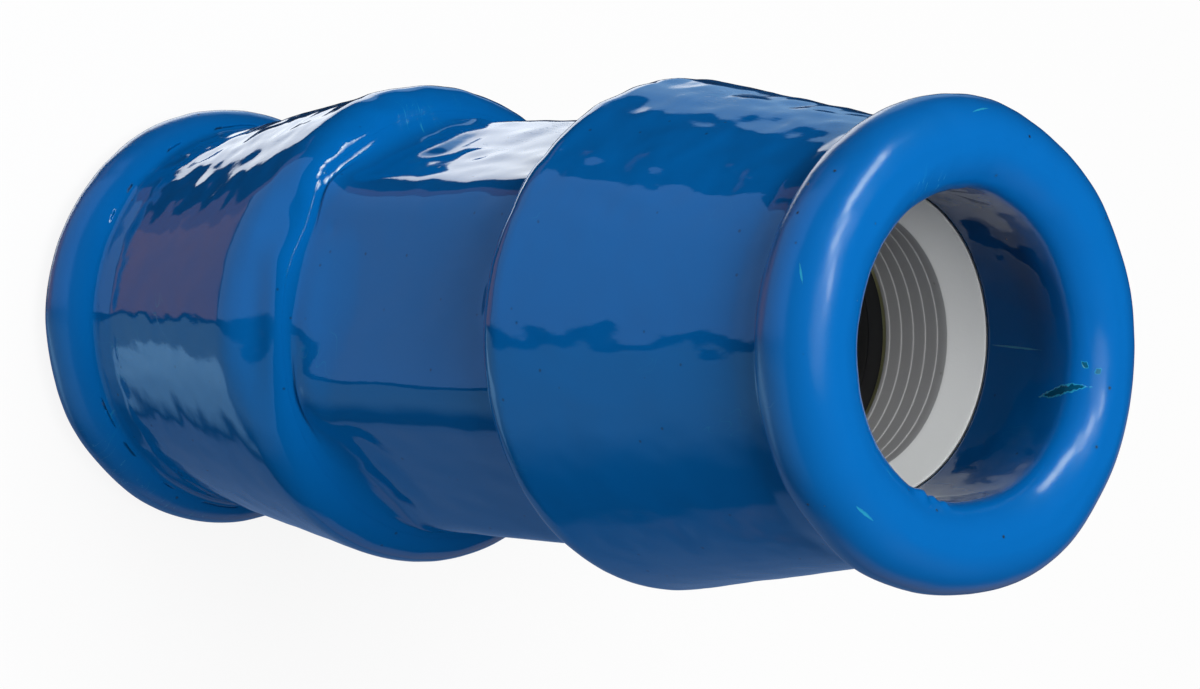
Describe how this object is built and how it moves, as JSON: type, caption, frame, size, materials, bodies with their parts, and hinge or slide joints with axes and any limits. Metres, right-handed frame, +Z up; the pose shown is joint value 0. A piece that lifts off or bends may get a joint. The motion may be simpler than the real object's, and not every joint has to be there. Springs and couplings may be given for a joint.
{
  "type": "compression coupling",
  "caption": "Pipe compression coupling with a hexagonal body, blue jacketed gland nuts that end in rolled lips, and white grip rings inside.",
  "frame": {"origin": "centre of the bottom lip, on the surface that the coupling stands on", "axes": "+Z up along the pipe axis; +X towards a corner of the hexagon"},
  "size_m": [0.0848, 0.0848, 0.2061],
  "materials": {
    "jacket": "glossy",
    "iron": "satin",
    "grip_ring": "matte",
    "slip_washer": "satin",
    "pressing_ring": "matte",
    "seal": "matte"
  },
  "bodies": {
    "bottom_nut": {"bottom_nut": "iron", "bottom_nut_jacket": "jacket"},
    "bottom_rings": {"bottom_grip_ring": "grip_ring", "bottom_slip_washer": "slip_washer"},
    "middle": {"body": "iron", "body_jacket": "jacket", "bottom_seal": "seal", "top_seal": "seal", "bottom_pressing_ring": "pressing_ring", "top_pressing_ring": "pressing_ring"},
    "top_rings": {"top_grip_ring": "grip_ring", "top_slip_washer": "slip_washer"},
    "top_nut": {"top_nut": "iron", "top_nut_jacket": "jacket"}
  },
  "joints": [
    {"name": "bottom_thread_turn", "type": "hinge", "parent": "bottom_nut", "child": "bottom_rings", "pos_m": [0, 0, 0.06303], "axis": [0, 0, 1], "range_deg": [0, 2160]},
    {"name": "bottom_thread_travel", "type": "slide", "parent": "bottom_rings", "child": "middle", "axis": [0, 0, 1], "range_m": [0, 0.0181]},
    {"name": "top_thread_travel", "type": "slide", "parent": "middle", "child": "top_rings", "axis": [0, 0, 1], "range_m": [0, 0.0181]},
    {"name": "top_thread_turn", "type": "hinge", "parent": "top_rings", "child": "top_nut", "pos_m": [0, 0, 0.14303], "axis": [0, 0, 1], "range_deg": [0, 2160]}
  ],
  "couplings": [
    {"joint": "bottom_thread_travel", "follows": "bottom_thread_turn", "m_per_rad": 0.00047746},
    {"joint": "top_thread_travel", "follows": "top_thread_turn", "m_per_rad": 0.00047746}
  ]
}
